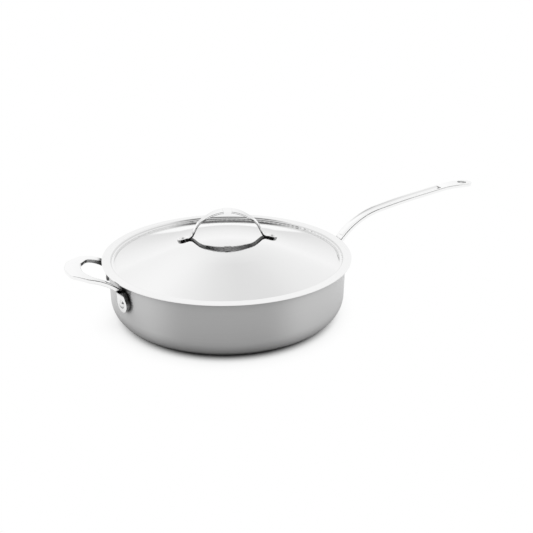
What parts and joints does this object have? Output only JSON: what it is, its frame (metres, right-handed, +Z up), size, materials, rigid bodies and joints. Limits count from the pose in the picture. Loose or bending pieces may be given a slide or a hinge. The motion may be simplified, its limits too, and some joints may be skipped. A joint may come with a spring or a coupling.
{
  "type": "saute pan with lid",
  "caption": "Straight-sided clad steel saute pan with a low domed lid, a long cast handle, a helper loop handle and an arched lid handle; the lid lifts off.",
  "frame": {"origin": "centre of the flat base underside, where the pan stands", "axes": "+Z up through the lid, +X towards the long handle, -X towards the helper handle"},
  "size_m": [0.5619, 0.3072, 0.1319],
  "materials": {
    "clad_outer_steel": "satin polished",
    "core_aluminium": "bare edge",
    "clad_inner_steel": "satin",
    "cast_handle_steel": "mirror polished",
    "rivet_steel": "polished",
    "lid_steel": "satin polished"
  },
  "bodies": {
    "pan": {"pan_outer_ply": "clad_outer_steel", "pan_aluminium_core": "core_aluminium", "pan_inner_ply": "clad_inner_steel", "long_handle": "cast_handle_steel", "long_handle_rivets": "rivet_steel", "helper_handle": "cast_handle_steel", "helper_handle_rivets": "rivet_steel"},
    "lid": {"lid_shell": "lid_steel", "lid_handle": "cast_handle_steel", "lid_handle_rivets": "rivet_steel"}
  },
  "joints": [
    {"name": "lid_lift", "type": "slide", "parent": "pan", "child": "lid", "axis": [0, 0, 1], "range_m": [0, 0.2]}
  ]
}
